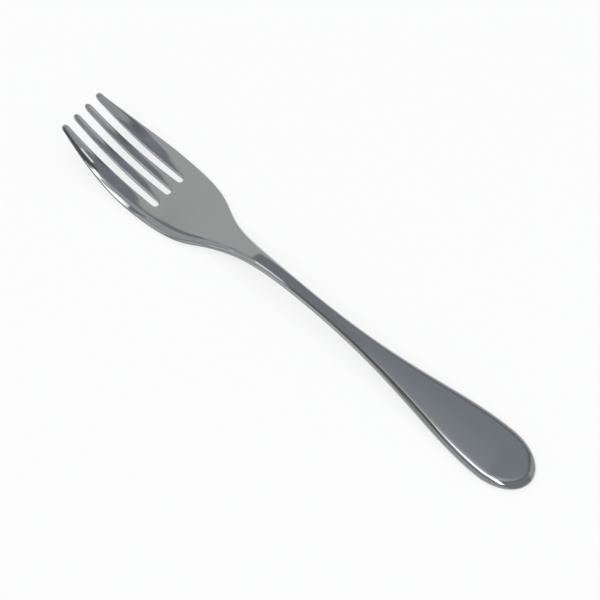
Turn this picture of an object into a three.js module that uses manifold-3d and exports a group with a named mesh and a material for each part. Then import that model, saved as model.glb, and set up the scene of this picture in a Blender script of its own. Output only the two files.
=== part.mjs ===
// One-piece stainless steel table fork with four tines, lying on its back on a table.
// A flat blank swells into a polished section, is slotted into tines and is then
// pressed along the side profile. Stations run from the handle's end to the tips,
// which point along +X; +Y is across the fork and +Z is up. Sizes are in millimetres.

import * as THREE from 'three';
import { mergeGeometries, mergeVertices } from 'three/addons/utils/BufferGeometryUtils.js';
import Module from 'manifold-3d';

// Side profile of the middle of the metal: level heel, arched neck, bowl, rising tines.
// A reach is how far a curve keeps to its tangent before it turns.
const overallLength = 200;
const heelLength = 12;
const heelReach = 8;
const archStation = 104;
const archHeight = 7;
const archReachBack = 9;
const archReachAhead = 27.1;
const bowlStation = 156;
const bowlReachBack = 35.4;
const bowlReachAhead = 15.6;
const tipHeight = 12.8;
const tipSlope = 31.1;
const tipReach = 19.7;

// Plan outline of the blank: round end, widest grip, narrow neck, shoulders, outer tines
const endBulge = 4.95;
const gripStation = 15.3;
const gripWidth = 20.15;
const gripReachBack = 9.7;
const gripReachAhead = 21.7;
const neckStation = 95.4;
const neckWidth = 5.05;
const neckReachBack = 41.9;
const neckReachAhead = 57.4;
const headStation = 167.7;
const headWidth = 28.4;
const headReachBack = 41.4;
const headReachAhead = 13.1;
const outerTineTaper = 3.8;
const outerTineReach = 1;

// Tines and the slots between them
const tineCount = 4;
const slotRootStation = 159;
const slotRootWidth = 2.55;
const slotMouthWidth = 3.2;
const innerTineRootWidth = 3.7;
const innerTineTipWidth = 2.35;
const outerTineTipWidth = 2.6;
const tipLength = 2.2;
const tipFlat = 0.3;
const tipArc = 80;
const slotEdgeBreak = 0.25;

// Thickness of the metal, and how far in from the rim the polished shoulder is rounded
const heelThickness = 2.6;
const neckThickness = 3;
const palmThickness = 2.3;
const tipThickness = 1.4;
const gripShoulder = 3.2;
const neckShoulder = 1.2;
const headShoulder = 4;
const tipShoulder = 1;
const crownRise = 0.2;

// Fineness of the facets
const curveSteps = 22;
const shoulderSteps = 6;
const faceSteps = 8;
const slotSideSteps = 16;
const slotArcSteps = 10;
const tipArcSteps = 5;
const mergeDistance = 1e-4;

const steel = new THREE.MeshStandardMaterial({ color: 0xc4c5c6, metalness: 1, roughness: 0.08 });

const wasm = await Module();
wasm.setup();

// The side profile is a level line and three curves that meet on common tangents,
// level at the crest of the arch and at the bottom of the bowl, where the fork rests.
function makeSpine() {
  const heelMiddle = heelThickness / 2;
  const bowlMiddle = palmThickness / 2;
  const slope = THREE.MathUtils.degToRad(tipSlope);
  const start = new THREE.Vector2(0, heelMiddle);
  const heel = new THREE.Vector2(heelLength, heelMiddle);
  const arch = new THREE.Vector2(archStation, archHeight);
  const bowl = new THREE.Vector2(bowlStation, bowlMiddle);
  const tip = new THREE.Vector2(overallLength, tipHeight);
  const ahead = (point, reach) => new THREE.Vector2(point.x + reach, point.y);
  const tipTangent = new THREE.Vector2(Math.cos(slope), Math.sin(slope)).multiplyScalar(tipReach);
  const spine = new THREE.CurvePath();
  const { LineCurve, CubicBezierCurve } = THREE;
  spine.add(new LineCurve(start, heel));
  spine.add(new CubicBezierCurve(heel, ahead(heel, heelReach), ahead(arch, -archReachBack), arch));
  const descent = [ahead(arch, archReachAhead), ahead(bowl, -bowlReachBack)];
  spine.add(new CubicBezierCurve(arch, ...descent, bowl));
  spine.add(new CubicBezierCurve(bowl, ahead(bowl, bowlReachAhead), tip.clone().sub(tipTangent), tip));
  return spine;
}

const spine = makeSpine();
const blankLength = spine.getLength();

// Presses a point of the flat blank, given by its station, its place across and its
// height over the middle of the metal, onto the side profile.
function press(station, across, height) {
  const along = THREE.MathUtils.clamp(station, 0, blankLength);
  const point = spine.getPoint(along / blankLength);
  const tangent = spine.getTangent(along / blankLength);
  point.addScaledVector(tangent, station - along);
  return [point.x - tangent.y * height, across, point.y + tangent.x * height];
}

const innerTines = tineCount - 2;
const tipPitch = innerTineTipWidth + slotMouthWidth;
const rootPitch = innerTineRootWidth + slotRootWidth;
const tipHalfWidth = (innerTines * tipPitch + slotMouthWidth) / 2 + outerTineTipWidth;
const innerTipRound = (innerTineTipWidth - tipFlat) / 2;
const outerTipRound = (outerTineTipWidth - tipFlat) / 2;

// Half of the plan outline, from the end of the handle round to the outer tine's tip
function makeOutline() {
  const taper = THREE.MathUtils.degToRad(outerTineTaper);
  const tineEnd = blankLength - tipLength;
  const tineEndHalf = tipHalfWidth + tipLength * Math.tan(taper);
  const [grip, neck, head] = [gripWidth / 2, neckWidth / 2, headWidth / 2];
  const outline = new THREE.Path();
  outline.moveTo(0, 0);
  outline.bezierCurveTo(0, endBulge, gripStation - gripReachBack, grip, gripStation, grip);
  outline.bezierCurveTo(
    gripStation + gripReachAhead, grip,
    neckStation - neckReachBack, neck,
    neckStation, neck,
  );
  outline.bezierCurveTo(
    neckStation + neckReachAhead, neck,
    headStation - headReachBack, head,
    headStation, head,
  );
  outline.bezierCurveTo(
    headStation + headReachAhead, head,
    tineEnd - outerTineReach * Math.cos(taper), tineEndHalf + outerTineReach * Math.sin(taper),
    tineEnd, tineEndHalf,
  );
  const corner = new THREE.Path();
  corner.moveTo(tineEnd, tineEndHalf);
  corner.quadraticCurveTo(blankLength, tipHalfWidth, blankLength, tipHalfWidth - outerTipRound);
  return [...outline.getPoints(curveSteps), ...corner.getPoints(tipArcSteps).slice(1)];
}

const outline = makeOutline();
const rim = [...outline, new THREE.Vector2(blankLength, 0)];

// Shortest way from a point of the blank to its rim
function distanceToRim(station, across) {
  const point = new THREE.Vector3(station, Math.abs(across), 0);
  const nearest = new THREE.Vector3();
  const side = new THREE.Line3();
  let least = Infinity;
  for (let i = 1; i < rim.length; i += 1) {
    side.start.set(rim[i - 1].x, rim[i - 1].y, 0);
    side.end.set(rim[i].x, rim[i].y, 0);
    side.closestPointToPoint(point, true, nearest);
    least = Math.min(least, nearest.distanceTo(point));
  }
  return least;
}

// A value that eases from the heel's to the neck's, the head's and the tips'
function easeAlong(station, heel, neck, head, tip) {
  const { smootherstep } = THREE.MathUtils;
  return heel
    + (neck - heel) * smootherstep(station, heelLength, neckStation)
    + (head - neck) * smootherstep(station, neckStation, bowlStation)
    + (tip - head) * smootherstep(station, bowlStation, blankLength);
}

function thicknessAt(station) {
  return easeAlong(station, heelThickness, neckThickness, palmThickness, tipThickness);
}

function shoulderAt(station) {
  return easeAlong(station, gripShoulder, neckShoulder, headShoulder, tipShoulder);
}

// Columns across half the fork: even over the face, then by equal angles round the shoulder
function columnsAcross(half, shoulder) {
  const round = Math.min(shoulder, half);
  const columns = [];
  for (let i = 1; i < faceSteps; i += 2) {
    columns.push((half - round) * i / faceSteps);
  }
  for (let i = 0; i <= shoulderSteps; i += 1) {
    columns.push(half - round + round * Math.sin(i / shoulderSteps * Math.PI / 2));
  }
  const mirrored = columns.toReversed().map((across) => -across);
  return [...mirrored, ...columns];
}

// One face of the unslotted blank, side 1 above and side -1 below. Its height rises from
// nothing at the rim as a quarter round, so that both faces meet there.
function makeFace(side) {
  const last = outline.length - 1;
  const positions = [];
  const triangles = [];
  let width = 0;
  outline.forEach(({ x: station, y: half }, row) => {
    const shoulder = shoulderAt(station);
    const columns = columnsAcross(half, shoulder);
    width = columns.length;
    columns.forEach((across, column) => {
      const atRim = row === 0 || row === last || column === 0 || column === width - 1;
      const inward = atRim ? 0 : Math.min(distanceToRim(station, across) / shoulder, 1);
      const crown = side > 0 && half > 0 ? crownRise * (1 - (across / half) ** 2) : 0;
      const height = Math.sqrt(inward * (2 - inward)) * (thicknessAt(station) / 2 + crown);
      positions.push(...press(station, across, side * height));
    });
  });
  for (let row = 0; row < last; row += 1) {
    for (let column = 0; column < width - 1; column += 1) {
      const a = row * width + column;
      const [b, c, d] = [a + 1, a + width, a + width + 1];
      triangles.push(...(side > 0 ? [a, c, b, b, c, d] : [a, b, c, b, d, c]));
    }
  }
  const face = new THREE.BufferGeometry();
  face.setAttribute('position', new THREE.Float32BufferAttribute(positions, 3));
  face.setIndex(triangles);
  return face;
}

// Plan outline of one slot, round at its root and flared at its mouth to round the tips.
// Each point carries the way in which the edge break widens the slot there.
function makeSlotOutline(place) {
  const rootHalf = slotRootWidth / 2;
  const mouthHalf = slotMouthWidth / 2;
  const rootCentre = slotRootStation + rootHalf;
  const mouthStart = blankLength - tipLength;
  const side = [];
  for (let i = 1; i <= slotArcSteps / 2; i += 1) {
    const angle = i / slotArcSteps * Math.PI;
    const [inX, inY] = [-Math.cos(angle), Math.sin(angle)];
    side.push({ station: rootCentre + rootHalf * inX, half: rootHalf * inY, wayX: inX, wayY: inY });
  }
  for (let i = 1; i <= slotSideSteps; i += 1) {
    const share = i / slotSideSteps;
    const station = THREE.MathUtils.lerp(rootCentre, mouthStart, share);
    side.push({ station, half: THREE.MathUtils.lerp(rootHalf, mouthHalf, share), wayX: 0, wayY: 1 });
  }
  for (let i = 1; i <= tipArcSteps; i += 1) {
    const angle = i / tipArcSteps * THREE.MathUtils.degToRad(tipArc);
    const station = mouthStart + tipLength * Math.sin(angle);
    const half = mouthHalf + innerTipRound * (1 - Math.cos(angle));
    side.push({ station, half, wayX: 0, wayY: Math.cos(angle) });
  }
  side.push({ ...side.at(-1), station: blankLength + innerTipRound });
  const centreAt = (station) => {
    const share = (station - rootCentre) / (blankLength - rootCentre);
    return place * THREE.MathUtils.lerp(rootPitch, tipPitch, Math.max(share, 0));
  };
  const root = { station: slotRootStation, half: 0, wayX: -1, wayY: 0 };
  const toPoint = (sign) => ({ station, half, wayX, wayY }) => (
    { station, across: centreAt(station) + sign * half, wayX, wayY: sign * wayY }
  );
  return [...side.map(toPoint(1)).reverse(), toPoint(1)(root), ...side.map(toPoint(-1))];
}

// Cutter of one slot: straight walls that open at 45 degrees just before each face
function makeSlotCutter(place) {
  const loop = makeSlotOutline(place);
  const overshoot = slotEdgeBreak + crownRise;
  const levels = [
    { side: -1, out: overshoot, widen: slotEdgeBreak + overshoot },
    { side: -1, out: -slotEdgeBreak, widen: 0 },
    { side: 1, out: crownRise - slotEdgeBreak, widen: 0 },
    { side: 1, out: crownRise + overshoot, widen: slotEdgeBreak + overshoot },
  ];
  const positions = [];
  levels.forEach(({ side, out, widen }) => {
    loop.forEach(({ station, across, wayX, wayY }) => {
      const height = side * (thicknessAt(station) / 2 + out);
      positions.push(...press(station + wayX * widen, across + wayY * widen, height));
    });
  });
  const count = loop.length;
  const triangles = [];
  for (let level = 0; level < levels.length - 1; level += 1) {
    for (let i = 0; i < count; i += 1) {
      const next = (i + 1) % count;
      const [a, b] = [level * count + i, level * count + next];
      triangles.push(a, b, a + count, b, b + count, a + count);
    }
  }
  const top = (levels.length - 1) * count;
  for (let a = 0; a < (count - 1) / 2; a += 1) {
    const [b, c, d] = [a + 1, count - 2 - a, count - 1 - a];
    triangles.push(d, b, a, d, c, b);
    triangles.push(top + a, top + b, top + d, top + b, top + c, top + d);
  }
  const cutter = new THREE.BufferGeometry();
  cutter.setAttribute('position', new THREE.Float32BufferAttribute(positions, 3));
  cutter.setIndex(triangles);
  return cutter;
}

// A closed geometry as a solid, its shared points merged and its collapsed facets dropped
function toSolid(geometry) {
  const merged = mergeVertices(geometry, mergeDistance);
  const index = merged.index.array;
  const kept = [];
  for (let i = 0; i < index.length; i += 3) {
    const [a, b, c] = [index[i], index[i + 1], index[i + 2]];
    if (a !== b && b !== c && c !== a) {
      kept.push(a, b, c);
    }
  }
  const vertProperties = new Float32Array(merged.attributes.position.array);
  const triVerts = new Uint32Array(kept);
  return new wasm.Manifold(new wasm.Mesh({ numProp: 3, vertProperties, triVerts }));
}

function toGeometry(solid) {
  const { vertProperties, triVerts } = solid.getMesh();
  const geometry = new THREE.BufferGeometry();
  geometry.setAttribute('position', new THREE.Float32BufferAttribute(vertProperties, 3));
  geometry.setIndex(Array.from(triVerts));
  geometry.computeVertexNormals();
  return geometry;
}

function makeFork() {
  let solid = toSolid(mergeGeometries([makeFace(1), makeFace(-1)]));
  for (let i = 0; i <= innerTines; i += 1) {
    solid = solid.subtract(toSolid(makeSlotCutter(i - innerTines / 2)));
  }
  const fork = new THREE.Mesh(toGeometry(solid), steel);
  fork.name = 'fork';
  return fork;
}

// The origin lies on the table under the middle of the fork's length
const fork = makeFork();
const box = new THREE.Box3().setFromObject(fork);
fork.position.set(-(box.min.x + box.max.x) / 2, 0, -box.min.z);

const model = new THREE.Group();
model.add(fork);

export default model;
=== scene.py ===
import math

import bpy
import numpy as np
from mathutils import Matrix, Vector


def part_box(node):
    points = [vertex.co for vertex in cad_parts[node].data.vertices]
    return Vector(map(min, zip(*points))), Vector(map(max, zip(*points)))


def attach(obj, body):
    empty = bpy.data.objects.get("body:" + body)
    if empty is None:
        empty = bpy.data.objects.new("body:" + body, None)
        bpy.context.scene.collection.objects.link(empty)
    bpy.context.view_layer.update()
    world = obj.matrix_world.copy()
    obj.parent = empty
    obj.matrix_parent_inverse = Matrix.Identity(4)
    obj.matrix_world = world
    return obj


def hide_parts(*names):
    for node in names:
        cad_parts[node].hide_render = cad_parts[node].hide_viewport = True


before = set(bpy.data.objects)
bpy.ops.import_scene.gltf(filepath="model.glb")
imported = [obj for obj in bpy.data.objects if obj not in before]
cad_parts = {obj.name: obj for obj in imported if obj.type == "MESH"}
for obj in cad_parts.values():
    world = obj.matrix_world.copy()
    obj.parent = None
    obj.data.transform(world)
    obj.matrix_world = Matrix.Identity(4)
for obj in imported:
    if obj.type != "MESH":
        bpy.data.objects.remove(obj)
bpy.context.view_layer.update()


# Fork
# The whole fork is one piece of stainless steel: stamped as a flat blank, rolled thinner towards
# the tips, slotted into four tines, pressed to its curve and mirror polished to soft edges.

low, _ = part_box("fork")

# The side profile runs along the middle of the metal, from the handle's end to the tips.
heel_thickness = 0.0026
neck_thickness = 0.0030
palm_thickness = 0.0023
tip_thickness = 0.0014
overall_length = 0.200
heel_length = 0.012
heel_reach = 0.008
arch_station = 0.104
arch_height = 0.0070
arch_reach_back = 0.009
arch_reach_ahead = 0.0271
bowl_station = 0.1560
bowl_reach_back = 0.0354
bowl_reach_ahead = 0.0156
tip_height = 0.0128
tip_slope = math.radians(31.1)
tip_reach = 0.0197
profile_resolution = 256

profile_stops = [
    ((0, heel_thickness / 2), (0, 0), (heel_length / 3, 0)),
    ((heel_length, heel_thickness / 2), (-heel_length / 3, 0), (heel_reach, 0)),
    ((arch_station, arch_height), (-arch_reach_back, 0), (arch_reach_ahead, 0)),
    ((bowl_station, palm_thickness / 2), (-bowl_reach_back, 0), (bowl_reach_ahead, 0)),
    (
        (overall_length, tip_height),
        (-tip_reach * math.cos(tip_slope), -tip_reach * math.sin(tip_slope)),
        (0, 0),
    ),
]
profile_curve = bpy.data.curves.new("side_profile", "CURVE")
profile_curve.dimensions = "3D"
profile_curve.resolution_u = profile_resolution
profile_spline = profile_curve.splines.new("BEZIER")
profile_spline.bezier_points.add(len(profile_stops) - 1)
for stop, (place, back, ahead) in zip(profile_spline.bezier_points, profile_stops):
    stop.handle_left_type = stop.handle_right_type = "FREE"
    spot = Vector((low.x + place[0], 0, low.z + place[1]))
    stop.co = spot
    stop.handle_left = spot + Vector((back[0], 0, back[1]))
    stop.handle_right = spot + Vector((ahead[0], 0, ahead[1]))
side_profile = bpy.data.objects.new("side_profile", profile_curve)
bpy.context.collection.objects.link(side_profile)
blank_length = profile_spline.calc_length(resolution=profile_resolution)

# The blank's outline is half of its width at each station along the blank.
end_bulge = 0.00495
grip_station = 0.0153
grip_half = 0.010075
grip_reach_back = 0.0097
grip_reach_ahead = 0.0217
neck_station = 0.0954
neck_half = 0.002525
neck_reach_back = 0.0419
neck_reach_ahead = 0.0574
head_station = 0.1677
head_half = 0.0142
head_reach_back = 0.0414
head_reach_ahead = 0.0131
outer_tine_taper = math.radians(3.8)
outer_tine_reach = 0.001

# Four tines with three slots between them.
slot_root = 0.1590
slot_root_half = 0.001275
slot_mouth_half = 0.0016
root_pitch = 0.00625
tip_pitch = 0.00555
tip_length = 0.0022
inner_tip_round = 0.001025
outer_tip_round = 0.00115
outer_tip_width = 0.0026
tip_half = tip_pitch + slot_mouth_half + outer_tip_width
tine_end = blank_length - tip_length
tine_end_half = tip_half + tip_length * math.tan(outer_tine_taper)
root_centre = slot_root + slot_root_half


def bend(start, start_handle, end_handle, end, steps=160):
    t = np.linspace(0, 1, steps + 1)[:, None]
    start, start_handle, end_handle, end = map(np.array, (start, start_handle, end_handle, end))
    return (
        (1 - t) ** 3 * start
        + 3 * (1 - t) ** 2 * t * start_handle
        + 3 * (1 - t) * t**2 * end_handle
        + t**3 * end
    )


grip = (grip_station, grip_half)
neck = (neck_station, neck_half)
head = (head_station, head_half)
shoulder_end = (tine_end, tine_end_half)
tine_corner = (blank_length, tip_half)
outline = np.concatenate(
    [
        bend((0, 0), (0, end_bulge), (grip_station - grip_reach_back, grip_half), grip),
        bend(
            grip,
            (grip_station + grip_reach_ahead, grip_half),
            (neck_station - neck_reach_back, neck_half),
            neck,
        )[1:],
        bend(
            neck,
            (neck_station + neck_reach_ahead, neck_half),
            (head_station - head_reach_back, head_half),
            head,
        )[1:],
        bend(
            head,
            (head_station + head_reach_ahead, head_half),
            (
                tine_end - outer_tine_reach * math.cos(outer_tine_taper),
                tine_end_half + outer_tine_reach * math.sin(outer_tine_taper),
            ),
            shoulder_end,
        )[1:],
        bend(
            shoulder_end,
            tuple((a + 2 * b) / 3 for a, b in zip(shoulder_end, tine_corner)),
            (blank_length, tip_half - outer_tip_round / 3),
            (blank_length, tip_half - outer_tip_round),
            steps=40,
        )[1:],
        [(blank_length, 0)],
    ]
)

# Stations lie closer together where the end, the slot roots and the tips are round.
end_round = 0.0024
root_lead = 0.0012
round_rows = 15
handle_rows = 172
tine_rows = 72
quarter = np.linspace(0, math.pi / 2, round_rows)
stations = np.concatenate(
    [
        end_round * (1 - np.cos(quarter)),
        np.linspace(end_round, slot_root - root_lead, handle_rows)[1:],
        slot_root - root_lead + root_lead * np.sin(quarter[2::2]),
        root_centre - slot_root_half * np.cos(quarter[1:]),
        np.linspace(root_centre, tine_end, tine_rows)[1:],
        tine_end + tip_length * np.sin(quarter[1:]),
    ]
)
stations[-1] = blank_length
root_row = int(np.argmin(abs(stations - slot_root)))
stations[root_row] = slot_root


def ease(start, end):
    t = np.clip((stations - start) / (end - start), 0, 1)
    return t**3 * (t * (t * 6 - 15) + 10)


def along(heel_value, neck_value, head_value, tip_value):
    return (
        heel_value
        + (neck_value - heel_value) * ease(heel_length, neck_station)
        + (head_value - neck_value) * ease(neck_station, bowl_station)
        + (tip_value - head_value) * ease(bowl_station, blank_length)
    )


# The section swells from a polished shoulder at the rim to a slight crown in the middle.
grip_shoulder = 0.0032
neck_shoulder = 0.0012
head_shoulder = 0.0040
tip_shoulder = 0.0010
crown_rise = 0.0002
slot_edge = 0.00025
tine_swell = 0.00016
tine_swell_width = 0.0018
half_width = np.interp(stations, outline[:-1, 0], outline[:-1, 1])
half_width[-1] = tip_half - outer_tip_round
thickness = along(heel_thickness, neck_thickness, palm_thickness, tip_thickness)
shoulder = along(grip_shoulder, neck_shoulder, head_shoulder, tip_shoulder)

slot_half = np.where(
    stations <= root_centre,
    np.sqrt(np.maximum(slot_root_half**2 - (stations - root_centre) ** 2, 0)),
    slot_root_half
    + (slot_mouth_half - slot_root_half)
    * np.clip((stations - root_centre) / (tine_end - root_centre), 0, 1),
)
slot_half[stations <= slot_root] = 0
past_mouth = np.clip((stations - tine_end) / tip_length, 0, 1)
slot_half += inner_tip_round * (1 - np.sqrt(1 - past_mouth**2))
pitch = root_pitch + (tip_pitch - root_pitch) * (stations - root_centre) / (
    blank_length - root_centre
)
pitch[:root_row] = pitch[root_row] * half_width[:root_row] / half_width[root_row]


def spread(left, right, left_soft, right_soft, left_steps, right_steps, middle_steps=11):
    width = right - left
    most_soft = 0.8 * width
    shrink = np.minimum(1, most_soft / (left_soft + right_soft))
    left_soft, right_soft = left_soft * shrink, right_soft * shrink
    left_turn = 1 - np.cos(np.linspace(0, math.pi / 2, left_steps + 1))
    right_turn = 1 - np.sin(np.linspace(0, math.pi / 2, right_steps + 1))
    middle = np.linspace(0, 1, middle_steps + 1)[1:-1]
    return np.concatenate(
        [
            left[:, None] + left_soft[:, None] * left_turn,
            (left + left_soft)[:, None]
            + (width - left_soft - right_soft)[:, None] * middle,
            right[:, None] - right_soft[:, None] * right_turn,
        ],
        axis=1,
    )


def rim_distance(across):
    search_reach = 0.004
    found = np.empty_like(across)
    for row, station in enumerate(stations):
        near_by = abs(outline[:, 0] - station) < search_reach
        near_by[:-1] |= near_by[1:]
        kept = np.flatnonzero(near_by)
        kept = np.arange(kept[0], kept[-1] + 1)
        starts, ends = outline[kept[:-1]], outline[kept[1:]]
        run = ends - starts
        points = np.stack([np.full(across.shape[1], station), abs(across[row])], 1)
        gap = points[:, None] - starts
        share = np.clip((gap * run).sum(2) / np.maximum((run**2).sum(1), 1e-18), 0, 1)
        found[row] = np.sqrt(((gap - share[..., None] * run) ** 2).sum(2)).min(1)
    return found


def slot_distance(across):
    found = np.full_like(across, 1.0)
    for place in (-1, 0, 1):
        from_side = abs(across - (place * pitch)[:, None]) - slot_half[:, None]
        from_centre = np.hypot((stations - root_centre)[:, None], across - place * root_pitch)
        from_root = from_centre - slot_root_half
        behind = (stations < root_centre)[:, None]
        found = np.minimum(found, np.where(behind, from_root, from_side))
    return np.maximum(found, 0)


# Each tine runs the whole length as a top, a bottom and a wall on each side that faces a slot. The
# sides are dullest, and darkest in painted shade, where the shoulder is steepest.
shoulder_steps = 14
slot_edge_steps = 5
wall_rows = 4
dulling_and_shade_start = 0.9
dulling_and_shade_full = 2.4
blank_points, blank_faces, blank_dulling_and_shade = [], [], []
tine_edges = [-half_width, -pitch, np.zeros_like(pitch), pitch, half_width]
for tine in range(4):
    outer_left, outer_right = tine == 0, tine == 3
    across = spread(
        tine_edges[tine] + (0 if outer_left else slot_half),
        tine_edges[tine + 1] - (0 if outer_right else slot_half),
        shoulder if outer_left else np.full_like(shoulder, slot_edge),
        shoulder if outer_right else np.full_like(shoulder, slot_edge),
        shoulder_steps if outer_left else slot_edge_steps,
        shoulder_steps if outer_right else slot_edge_steps,
    )
    inward = np.clip(rim_distance(across) / shoulder[:, None], 0, 1)
    roundness = np.sqrt(inward * (2 - inward))
    if outer_left:
        roundness[:, 0] = 0
    if outer_right:
        roundness[:, -1] = 0
    roundness[0] = roundness[-1] = 0
    half_thick = thickness[:, None] / 2
    from_slot = slot_distance(across)
    edge_turn = np.clip(from_slot / slot_edge, 0, 1)
    edge_drop = slot_edge * (1 - np.sqrt(1 - (1 - edge_turn) ** 2))
    swell_drop = tine_swell * (1 - np.clip(from_slot / tine_swell_width, 0, 1)) ** 2
    crown = crown_rise * (1 - (across / np.maximum(half_width, 1e-6)[:, None]) ** 2)
    top = roundness * (half_thick + crown - edge_drop - swell_drop)
    bottom = -roundness * (half_thick - edge_drop - swell_drop)
    steepness = half_thick / shoulder[:, None] * (1 - inward) / np.maximum(roundness, 1e-3)
    # The same mask dulls the polish and darkens the colour as painted shade on the steep sides.
    dulling_and_shade = np.clip((steepness - dulling_and_shade_start) / (dulling_and_shade_full - dulling_and_shade_start), 0, 1)

    columns = across.shape[1]
    flat = np.repeat(stations[:, None], columns, 1)
    grids = [np.stack([flat, across, height], 2) for height in (top, bottom)]
    for column, has_wall in ((0, not outer_left), (columns - 1, not outer_right)):
        if has_wall:
            down = np.linspace(0, 1, wall_rows)
            wall = top[:, column, None] * (1 - down) + bottom[:, column, None] * down
            edge = np.repeat(across[:, column, None], wall_rows, 1)
            flat_wall = np.repeat(stations[:, None], wall_rows, 1)
            grids.append(np.stack([flat_wall, edge, wall], 2))
    for which, grid in enumerate(grids):
        is_bottom, is_wall = which == 1, which > 1
        is_left_wall = which == 2 and not outer_left
        first = sum(len(points) for points in blank_points)
        blank_points.append(grid.reshape(-1, 3))
        blank_dulling_and_shade.append(np.ones(grid[..., 0].size) if is_wall else dulling_and_shade.ravel())
        rows, columns = grid.shape[:2]
        index = first + np.arange(rows * columns).reshape(rows, columns)
        if is_wall:
            index = index[root_row:]
        quads = np.stack(
            [index[:-1, :-1], index[1:, :-1], index[1:, 1:], index[:-1, 1:]], 2
        ).reshape(-1, 4)
        if is_bottom or is_left_wall:
            quads = quads[:, ::-1]
        blank_faces.append(quads)

blank_mesh = bpy.data.meshes.new("fork_blank")
blank_mesh.from_pydata(np.concatenate(blank_points), [], np.concatenate(blank_faces).tolist())
# The mask of duller polish and painted shade is kept on the blank's points.
edge_dulling_and_painted_shade = blank_mesh.attributes.new("edge_dulling_and_painted_shade", "FLOAT", "POINT")
edge_dulling_and_painted_shade.data.foreach_set("value", np.concatenate(blank_dulling_and_shade))
fork_blank = bpy.data.objects.new("fork_blank", blank_mesh)
bpy.context.collection.objects.link(fork_blank)

# Mirror-polished stainless steel. Wiping leaves hairlines along it and a faint haze in patches, and
# the polish is duller down the sides and in the slots, where the wheel can't reach. There the base
# colour is also darker, which is painted shade.
hairline_stretch = (30, 2600, 2600)
hairline_roughness = 0.03
side_roughness = 0.30
scratch_depth = 6e-7
polished_steel = bpy.data.materials.new("polished_steel")
polished_steel.use_nodes = True
steel, feed = polished_steel.node_tree.nodes, polished_steel.node_tree.links.new
steel_shader = steel["Principled BSDF"]
steel_shader.inputs["Metallic"].default_value = 1
on_fork = steel.new("ShaderNodeTexCoord")
drawn_out = steel.new("ShaderNodeVectorMath")
drawn_out.operation = "MULTIPLY"
feed(on_fork.outputs["Object"], drawn_out.inputs[0])
drawn_out.inputs[1].default_value = hairline_stretch
hairlines = steel.new("ShaderNodeTexNoise")
feed(drawn_out.outputs["Vector"], hairlines.inputs["Vector"])
hairlines.inputs["Scale"].default_value = 1
hairlines.inputs["Detail"].default_value = 3
smudges = steel.new("ShaderNodeTexNoise")
feed(on_fork.outputs["Object"], smudges.inputs["Vector"])
smudges.inputs["Scale"].default_value = 95
smudges.inputs["Detail"].default_value = 4
dulled_and_shaded = steel.new("ShaderNodeAttribute")
dulled_and_shaded.attribute_name = "edge_dulling_and_painted_shade"
haze = steel.new("ShaderNodeMapRange")
feed(smudges.outputs["Fac"], haze.inputs["Value"])
haze.inputs["From Min"].default_value = 0.45
haze.inputs["From Max"].default_value = 0.75
haze.inputs["To Min"].default_value = 0.045
haze.inputs["To Max"].default_value = 0.085
lined = steel.new("ShaderNodeMath")
lined.operation = "MULTIPLY_ADD"
feed(hairlines.outputs["Fac"], lined.inputs[0])
lined.inputs[1].default_value = hairline_roughness
feed(haze.outputs["Result"], lined.inputs[2])
dulled = steel.new("ShaderNodeMath")
dulled.operation = "MULTIPLY_ADD"
feed(dulled_and_shaded.outputs["Fac"], dulled.inputs[0])
dulled.inputs[1].default_value = side_roughness
feed(lined.outputs["Value"], dulled.inputs[2])
feed(dulled.outputs["Value"], steel_shader.inputs["Roughness"])
# Painted shade: the steep sides and the slot walls take a darker steel colour.
painted_shade_tint = steel.new("ShaderNodeMix")
painted_shade_tint.data_type = "RGBA"
feed(dulled_and_shaded.outputs["Fac"], painted_shade_tint.inputs["Factor"])
painted_shade_tint.inputs["A"].default_value = (0.55, 0.56, 0.57, 1)
painted_shade_tint.inputs["B"].default_value = (0.32, 0.325, 0.33, 1)
feed(painted_shade_tint.outputs["Result"], steel_shader.inputs["Base Color"])
scratched = steel.new("ShaderNodeBump")
scratched.inputs["Strength"].default_value = 1
scratched.inputs["Distance"].default_value = scratch_depth
feed(hairlines.outputs["Fac"], scratched.inputs["Height"])
feed(scratched.outputs["Normal"], steel_shader.inputs["Normal"])

# The press welds the stamped blank's seams and lays every station of it along the side profile.
press = bpy.data.node_groups.new("press_along_profile", "GeometryNodeTree")
press.interface.new_socket("Blank", in_out="INPUT", socket_type="NodeSocketGeometry")
profile_socket = press.interface.new_socket(
    "Side Profile", in_out="INPUT", socket_type="NodeSocketObject"
)
weld_socket = press.interface.new_socket(
    "Weld Distance", in_out="INPUT", socket_type="NodeSocketFloat"
)
finish_socket = press.interface.new_socket(
    "Finish", in_out="INPUT", socket_type="NodeSocketMaterial"
)
press.interface.new_socket("Fork", in_out="OUTPUT", socket_type="NodeSocketGeometry")
made, link = press.nodes.new, press.links.new
given = made("NodeGroupInput")
result = made("NodeGroupOutput")
weld = made("GeometryNodeMergeByDistance")
link(given.outputs["Blank"], weld.inputs["Geometry"])
link(given.outputs["Weld Distance"], weld.inputs["Distance"])
profile_info = made("GeometryNodeObjectInfo")
link(given.outputs["Side Profile"], profile_info.inputs["Object"])
flat_place = made("GeometryNodeInputPosition")
flat_parts = made("ShaderNodeSeparateXYZ")
link(flat_place.outputs["Position"], flat_parts.inputs["Vector"])
on_profile = made("GeometryNodeSampleCurve")
on_profile.mode = "LENGTH"
link(profile_info.outputs["Geometry"], on_profile.inputs["Curves"])
link(flat_parts.outputs["X"], on_profile.inputs["Length"])
upward = made("ShaderNodeVectorMath")
upward.operation = "CROSS_PRODUCT"
link(on_profile.outputs["Tangent"], upward.inputs[0])
upward.inputs[1].default_value = (0, 1, 0)
upright = made("ShaderNodeVectorMath")
upright.operation = "NORMALIZE"
link(upward.outputs["Vector"], upright.inputs[0])
lifted = made("ShaderNodeVectorMath")
lifted.operation = "SCALE"
link(upright.outputs["Vector"], lifted.inputs[0])
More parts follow.
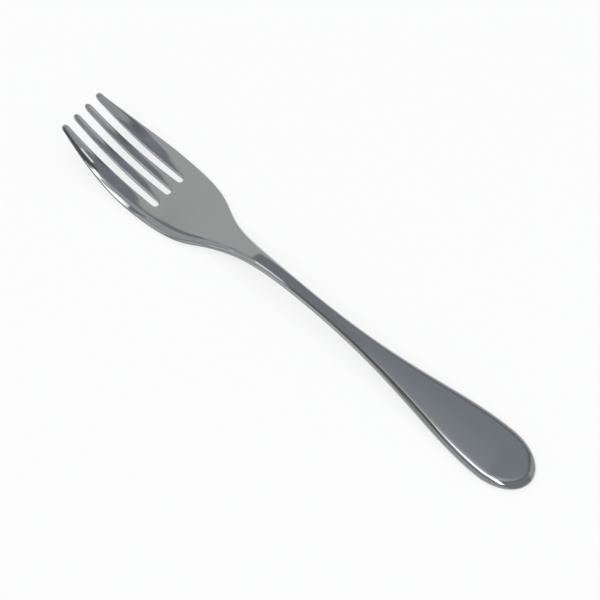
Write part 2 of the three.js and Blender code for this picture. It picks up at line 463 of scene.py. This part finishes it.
link(flat_parts.outputs["Z"], lifted.inputs["Scale"])
sideways = made("ShaderNodeCombineXYZ")
link(flat_parts.outputs["Y"], sideways.inputs["Y"])
off_middle = made("ShaderNodeVectorMath")
link(lifted.outputs["Vector"], off_middle.inputs[0])
link(sideways.outputs["Vector"], off_middle.inputs[1])
pressed_place = made("ShaderNodeVectorMath")
link(on_profile.outputs["Position"], pressed_place.inputs[0])
link(off_middle.outputs["Vector"], pressed_place.inputs[1])
pressed = made("GeometryNodeSetPosition")
link(weld.outputs["Geometry"], pressed.inputs["Geometry"])
link(pressed_place.outputs["Vector"], pressed.inputs["Position"])
smooth = made("GeometryNodeSetShadeSmooth")
link(pressed.outputs["Geometry"], smooth.inputs["Geometry"])
real = made("GeometryNodeRealizeInstances")
link(smooth.outputs["Geometry"], real.inputs["Geometry"])
finished = made("GeometryNodeSetMaterial")
link(real.outputs["Geometry"], finished.inputs["Geometry"])
link(given.outputs["Finish"], finished.inputs["Material"])
link(finished.outputs["Geometry"], result.inputs["Fork"])

weld_distance = 1e-6
pressing = fork_blank.modifiers.new("press", "NODES")
pressing.node_group = press
pressing[profile_socket.identifier] = side_profile
pressing[weld_socket.identifier] = weld_distance
pressing[finish_socket.identifier] = polished_steel
bpy.context.view_layer.update()
fork_pressed = fork_blank.evaluated_get(bpy.context.evaluated_depsgraph_get())
fork_mesh = bpy.data.meshes.new_from_object(fork_pressed)
fork_blank.modifiers.remove(pressing)
table_fork = bpy.data.objects.new("table_fork", fork_mesh)
bpy.context.collection.objects.link(table_fork)
for spent in (fork_blank, side_profile):
    bpy.data.objects.remove(spent)
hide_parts("fork")
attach(table_fork, "root")


# Floor
# A seamless sheet of white paper, far wider than the fork, that the fork lies loose on. It is lit
# from behind, so it looks white, and it still takes the fork's shadow.

floor_half = 4.0
paper_glow = 0.7
floor_mesh = bpy.data.meshes.new("paper_floor")
floor_mesh.from_pydata(
    [(x * floor_half, y * floor_half, 0) for x, y in ((-1, -1), (1, -1), (1, 1), (-1, 1))],
    [],
    [(0, 1, 2, 3)],
)
paper_floor = bpy.data.objects.new("paper_floor", floor_mesh)
bpy.context.collection.objects.link(paper_floor)
white_paper = bpy.data.materials.new("white_paper")
white_paper.use_nodes = True
paper, lay = white_paper.node_tree.nodes, white_paper.node_tree.links.new
paper_shader = paper["Principled BSDF"]
paper_shader.inputs["Base Color"].default_value = (0.95, 0.95, 0.95, 1)
paper_shader.inputs["Roughness"].default_value = 1
paper_shader.inputs["Specular IOR Level"].default_value = 0
backlit = paper.new("ShaderNodeEmission")
backlit.inputs["Strength"].default_value = 1
seen = paper.new("ShaderNodeLightPath")
seen_or_mirrored = paper.new("ShaderNodeMath")
seen_or_mirrored.operation = "MAXIMUM"
lay(seen.outputs["Is Camera Ray"], seen_or_mirrored.inputs[0])
lay(seen.outputs["Is Glossy Ray"], seen_or_mirrored.inputs[1])
seen_through = paper.new("ShaderNodeMath")
seen_through.operation = "MAXIMUM"
lay(seen_or_mirrored.outputs["Value"], seen_through.inputs[0])
lay(seen.outputs["Is Transmission Ray"], seen_through.inputs[1])
glow_share = paper.new("ShaderNodeMath")
glow_share.operation = "MULTIPLY"
lay(seen_through.outputs["Value"], glow_share.inputs[0])
glow_share.inputs[1].default_value = paper_glow
white_mix = paper.new("ShaderNodeMixShader")
lay(glow_share.outputs["Value"], white_mix.inputs["Fac"])
lay(paper_shader.outputs["BSDF"], white_mix.inputs[1])
lay(backlit.outputs["Emission"], white_mix.inputs[2])
lay(white_mix.outputs["Shader"], paper["Material Output"].inputs["Surface"])
floor_mesh.materials.append(white_paper)


# Studio light
# The polish mirrors a dim blue-grey ceiling with a dark border and two dark openings, in a paler
# room. Cards and small lamps hang low over the head and neck, a long lamp and a dim one at its end
# draw the line down the handle, and a wide fill, which the steel doesn't show, lights the paper.

ceiling_middle = (0.43, -0.20)
ceiling_half = (0.66, 0.67)
glow_middle = (-0.03, 0.08, 0.996)
black, white = (0, 0, 0, 1), (1, 1, 1, 1)
studio = bpy.data.worlds.new("studio")
studio.use_nodes = True
sky, join = studio.node_tree.nodes, studio.node_tree.links.new


def ramp(source, stops):
    made_ramp = sky.new("ShaderNodeValToRGB")
    join(source, made_ramp.inputs["Fac"])
    marks = made_ramp.color_ramp.elements
    marks[0].position, marks[0].color = stops[0]
    marks[1].position, marks[1].color = stops[-1]
    for place, tone in stops[1:-1]:
        marks.new(place).color = tone
    return made_ramp.outputs["Color"]


def mix(share, base, cover_tone):
    mixed = sky.new("ShaderNodeMix")
    mixed.data_type = "RGBA"
    join(share, mixed.inputs["Factor"])
    join(base, mixed.inputs["A"])
    mixed.inputs["B"].default_value = cover_tone
    return mixed.outputs["Result"]


sky_way = sky.new("ShaderNodeTexCoord")
from_middle = sky.new("ShaderNodeVectorMath")
from_middle.operation = "SUBTRACT"
join(sky_way.outputs["Generated"], from_middle.inputs[0])
from_middle.inputs[1].default_value = (*ceiling_middle, 0)
as_share = sky.new("ShaderNodeVectorMath")
as_share.operation = "DIVIDE"
join(from_middle.outputs["Vector"], as_share.inputs[0])
as_share.inputs[1].default_value = (*ceiling_half, 1)
either_way = sky.new("ShaderNodeVectorMath")
either_way.operation = "ABSOLUTE"
join(as_share.outputs["Vector"], either_way.inputs[0])
ways = sky.new("ShaderNodeSeparateXYZ")
join(either_way.outputs["Vector"], ways.inputs["Vector"])
outward = sky.new("ShaderNodeMath")
outward.operation = "MAXIMUM"
join(ways.outputs["X"], outward.inputs[0])
join(ways.outputs["Y"], outward.inputs[1])

# A colour ramp reads from 0 to 1, so the ways that run further are halved or moved to fit in it.
outward_half = sky.new("ShaderNodeMath")
outward_half.operation = "MULTIPLY"
join(outward.outputs["Value"], outward_half.inputs[0])
outward_half.inputs[1].default_value = 0.5
sky_parts = sky.new("ShaderNodeSeparateXYZ")
join(sky_way.outputs["Generated"], sky_parts.inputs["Vector"])
towards_tips = sky.new("ShaderNodeMath")
join(sky_parts.outputs["X"], towards_tips.inputs[0])
towards_tips.inputs[1].default_value = 0.3
to_near_side = sky.new("ShaderNodeMapRange")
join(sky_parts.outputs["Y"], to_near_side.inputs["Value"])
to_near_side.inputs["From Min"].default_value = -1

ceiling_tone = ramp(
    towards_tips.outputs["Value"],
    (
        (0.10, (0.24, 0.255, 0.285, 1)),
        (0.28, (0.289, 0.306, 0.342, 1)),
        (0.39, (0.286, 0.303, 0.337, 1)),
        (0.50, (0.253, 0.266, 0.290, 1)),
    ),
)
from_glow = sky.new("ShaderNodeVectorMath")
from_glow.operation = "DISTANCE"
join(sky_way.outputs["Generated"], from_glow.inputs[0])
from_glow.inputs[1].default_value = glow_middle
glow = sky.new("ShaderNodeMapRange")
glow.interpolation_type = "SMOOTHSTEP"
join(from_glow.outputs["Value"], glow.inputs["Value"])
glow.inputs["From Min"].default_value = 0.46
glow.inputs["From Max"].default_value = 0.04
glow.inputs["To Max"].default_value = 0.34
glow_end = ramp(
    towards_tips.outputs["Value"],
    ((0.28, white), (0.33, (0.75, 0.75, 0.75, 1)), (0.36, (0.4, 0.4, 0.4, 1)), (0.40, black)),
)
glow_part = sky.new("ShaderNodeMath")
glow_part.operation = "MULTIPLY"
join(glow.outputs["Result"], glow_part.inputs[0])
join(glow_end, glow_part.inputs[1])
glowing = sky.new("ShaderNodeVectorMath")
join(ceiling_tone, glowing.inputs[0])
join(glow_part.outputs["Value"], glowing.inputs[1])
border = ramp(outward_half.outputs["Value"], ((0.33, black), (0.44, white)))
ceiling = mix(border, glowing.outputs["Vector"], (0.20, 0.205, 0.22, 1))
beyond = ramp(outward_half.outputs["Value"], ((0.49, black), (0.53, white)))
room = mix(beyond, ceiling, (0.46, 0.46, 0.45, 1))
for dark_tone, along_stops, across_stops in (
    (
        (0.135, 0.138, 0.145, 1),
        ((0.405, black), (0.425, white), (0.49, white), (0.52, black)),
        ((0.56, black), (0.68, white), (0.92, white), (0.96, black)),
    ),
    (
        (0.25, 0.262, 0.28, 1),
        ((0.00, white), (0.14, black)),
        ((0.25, black), (0.325, white), (0.775, white), (0.875, black)),
    ),
):
    opening = sky.new("ShaderNodeMath")
    opening.operation = "MULTIPLY"
    join(ramp(towards_tips.outputs["Value"], along_stops), opening.inputs[0])
    join(ramp(to_near_side.outputs["Result"], across_stops), opening.inputs[1])
    room = mix(opening.outputs["Value"], room, dark_tone)
seen_straight = sky.new("ShaderNodeLightPath")
backdrop = mix(seen_straight.outputs["Is Camera Ray"], room, white)
join(backdrop, sky["Background"].inputs["Color"])
bpy.context.scene.world = studio

# Each card has its height, its glow and rows that give a place across and its two ends along.
for card_name, card_height, card_glow, card_rows in (
    (
        "grey_card",
        0.120,
        (0.545, 0.545, 0.53, 1),
        (
            (-0.002, 0.1022, 0.600),
            (-0.027, 0.1010, 0.600),
            (-0.051, 0.1007, 0.600),
            (-0.057, 0.0950, 0.600),
            (-0.063, 0.0920, 0.600),
            (-0.075, 0.0815, 0.600),
            (-0.090, 0.0800, 0.600),
            (-0.900, 0.0750, 0.600),
        ),
    ),
    (
        "bright_strip",
        0.058,
        (2, 2, 2, 1),
        (
            (0.099, 0.0990, 0.102),
            (0.086, 0.0945, 0.097),
            (0.069, 0.0875, 0.090),
            (0.056, 0.0838, 0.087),
            (0.040, 0.0819, 0.085),
            (0.025, 0.0806, 0.084),
        ),
    ),
    (
        "side_card",
        0.100,
        (0.46, 0.46, 0.45, 1),
        ((0.300, -0.100, -0.033), (0.064, -0.100, -0.033)),
    ),
    (
        "dark_flag",
        0.300,
        (0.15, 0.15, 0.155, 1),
        ((0.190, -0.045, 0.060), (0.050, -0.045, 0.060)),
    ),
    (
        "tine_shade",
        0.302,
        (0.262, 0.275, 0.300, 1),
        ((0.050, -0.006, 0.100), (-0.100, -0.006, 0.100)),
    ),
    (
        "glint_stop",
        0.030,
        (0.245, 0.255, 0.275, 1),
        (
            (0.040, 0.0745, 0.0762),
            (0.035, 0.0735, 0.0754),
            (0.030, 0.0722, 0.0745),
            (0.026, 0.0710, 0.0738),
            (0.021, 0.0690, 0.0733),
            (0.017, 0.0670, 0.0730),
        ),
    ),
    (
        "glint_card",
        0.030,
        (2, 2, 2, 1),
        (
            (0.0410, 0.0843, 0.0856),
            (0.0370, 0.0830, 0.0845),
            (0.0332, 0.0822, 0.0834),
            (0.0295, 0.0809, 0.0824),
            (0.0250, 0.0796, 0.0812),
            (0.0220, 0.0791, 0.0805),
            (0.0195, 0.0787, 0.0803),
            (0.0145, 0.0786, 0.0792),
        ),
    ),
    (
        "tine_line",
        0.0155,
        (1.3, 1.3, 1.3, 1),
        ((0.0083, 0.0828, 0.0880), (0.0077, 0.0828, 0.0880)),
    ),
    (
        "tine_flag",
        0.0155,
        (0.120, 0.114, 0.114, 1),
        (
            (0.0300, 0.0892, 0.0990),
            (0.0220, 0.0872, 0.0990),
            (0.0185, 0.0860, 0.0990),
            (0.0155, 0.0838, 0.0990),
            (0.0130, 0.0828, 0.0990),
            (0.0115, 0.0815, 0.0990),
            (0.0105, 0.0800, 0.0990),
            (0.0086, 0.0812, 0.0990),
        ),
    ),
):
    card_mesh = bpy.data.meshes.new(card_name)
    card_mesh.from_pydata(
        [(x, y, card_height) for y, left, right in card_rows for x in (left, right)],
        [],
        [(2 * row, 2 * row + 2, 2 * row + 3, 2 * row + 1) for row in range(len(card_rows) - 1)],
    )
    card = bpy.data.objects.new(card_name, card_mesh)
    bpy.context.collection.objects.link(card)
    card_finish = bpy.data.materials.new(card_name)
    card_finish.use_nodes = True
    card_nodes = card_finish.node_tree.nodes
    card_nodes.remove(card_nodes["Principled BSDF"])
    glowing_card = card_nodes.new("ShaderNodeEmission")
    glowing_card.inputs["Color"].default_value = card_glow
    card_finish.node_tree.links.new(
        glowing_card.outputs["Emission"], card_nodes["Material Output"].inputs["Surface"]
    )
    card_mesh.materials.append(card_finish)
    card.visible_camera = False
    card.visible_diffuse = False
    card.visible_shadow = False

# Each lamp has its shape, length, width, brightness, place and turns. Only the long one lights the
# paper.
for lamp_name, lamp_shape, lamp_length, lamp_width, brightness, lamp_place, lamp_turns in (
    ("handle_lamp", "RECTANGLE", 0.50, 0.10, 1.8, (-0.2125, 0.2578, 0.88), (0, 0, -47.4)),
    ("line_end", "ELLIPSE", 0.24, 0.18, 0.3, (0.0193, 0.1219, 0.88), (0, 0, -41)),
    ("near_card", "RECTANGLE", 0.095, 0.115, 0.20, (0.085, 0.062, 0.105), (0, 0, 0)),
    ("tip_card", "RECTANGLE", 0.068, 0.088, 0.19, (0.040, -0.0531, 0.1133), (-32, -90, 0)),
    ("neck_lamp", "RECTANGLE", 0.025, 0.0215, 0.62, (0.0270, 0.0150, 0.045), (0, 0, 0)),
):
    lamp_light = bpy.data.lights.new(lamp_name, "AREA")
    lamp_light.shape = lamp_shape
    lamp_light.size = lamp_length
    lamp_light.size_y = lamp_width
    shape_share = math.pi / 4 if lamp_shape == "ELLIPSE" else 1
    lamp_light.energy = math.pi * brightness * shape_share * lamp_length * lamp_width
    lamp = bpy.data.objects.new(lamp_name, lamp_light)
    lamp.location = lamp_place
    lamp.rotation_mode = "ZYX"
    lamp.rotation_euler = [math.radians(degrees) for degrees in lamp_turns]
    lamp.visible_diffuse = lamp_name == "handle_lamp"
    bpy.context.collection.objects.link(lamp)

fill_light = bpy.data.lights.new("soft_fill", "SUN")
fill_light.angle = math.radians(120)
fill_light.energy = 2.0
soft_fill = bpy.data.objects.new("soft_fill", fill_light)
soft_fill.location = (0, 0, 1)
soft_fill.visible_glossy = False
bpy.context.collection.objects.link(soft_fill)


# Camera
# A short telephoto half a metre away, on the handle's side of the fork, looking steeply down at
# it, so that the tines point to the far left and the handle comes to the near right.

camera_data = bpy.data.cameras.new("camera")
camera_data.sensor_width = 36
camera_data.lens = 89.4
camera = bpy.data.objects.new("camera", camera_data)
bpy.context.collection.objects.link(camera)
aim = Vector((-0.00327, 0.00184, 0.005))
camera_distance = 0.5
turn, tilt = math.radians(220.95), math.radians(66.67)
towards_camera = Vector(
    (math.sin(turn) * math.cos(tilt), -math.cos(turn) * math.cos(tilt), math.sin(tilt))
)
camera.location = aim + camera_distance * towards_camera
camera.rotation_euler = (-towards_camera).to_track_quat("-Z", "Y").to_euler()
camera_data.clip_start = 0.01
camera_data.clip_end = 100
bpy.context.scene.camera = camera

bpy.context.scene.view_settings.view_transform = "Standard"
